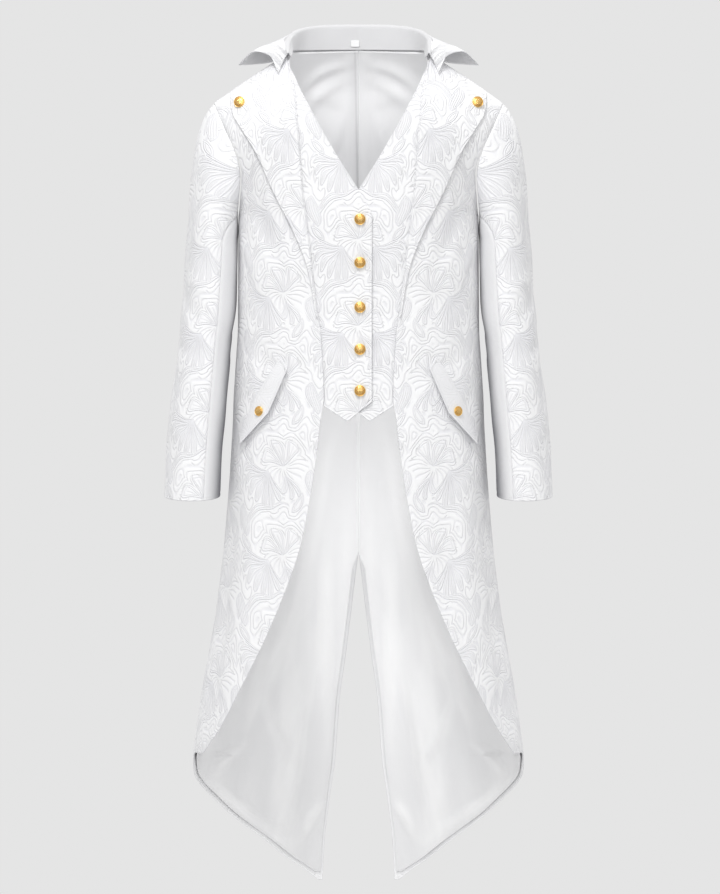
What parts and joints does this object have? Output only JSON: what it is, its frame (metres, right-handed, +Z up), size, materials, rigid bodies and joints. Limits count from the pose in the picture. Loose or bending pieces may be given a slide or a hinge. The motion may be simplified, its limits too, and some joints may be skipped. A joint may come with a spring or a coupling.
{
  "type": "tailcoat",
  "caption": "White brocade cutaway tailcoat with long tails, sewn-in waistcoat fronts, wide buttoned-back lapels and domed metal buttons, filled out as worn",
  "frame": {"origin": "midway between the shoulders, at the height where a wearer's shoulders carry the coat", "axes": "+Z up, -Y is the coat's front, +X is the wearer's left side"},
  "size_m": [0.6018, 0.2807, 1.3286],
  "materials": {
    "brocade": "white tone-on-tone floral jacquard, satin figures on a matt ground",
    "lining_satin": "plain pale satin lining",
    "gold": "polished gold-coloured metal, domed",
    "label_tape": "blank woven tape"
  },
  "bodies": {
    "root": {"front_left": "brocade", "front_right": "brocade", "back_left": "brocade", "back_right": "brocade", "lining_left": "lining_satin", "lining_right": "lining_satin", "lapel_left": "brocade", "lapel_right": "brocade", "waistcoat_left": "brocade", "waistcoat_right": "brocade", "upper_sleeve_left": "brocade", "upper_sleeve_right": "brocade", "under_sleeve_left": "brocade", "under_sleeve_right": "brocade", "collar": "brocade", "pocket_flap_left": "brocade", "pocket_flap_right": "brocade", "waistcoat_button_1": "gold", "waistcoat_button_2": "gold", "waistcoat_button_3": "gold", "waistcoat_button_4": "gold", "waistcoat_button_5": "gold", "shoulder_button_left": "gold", "shoulder_button_right": "gold", "flap_button_left": "gold", "flap_button_right": "gold", "neck_label": "label_tape"}
  },
  "joints": []
}
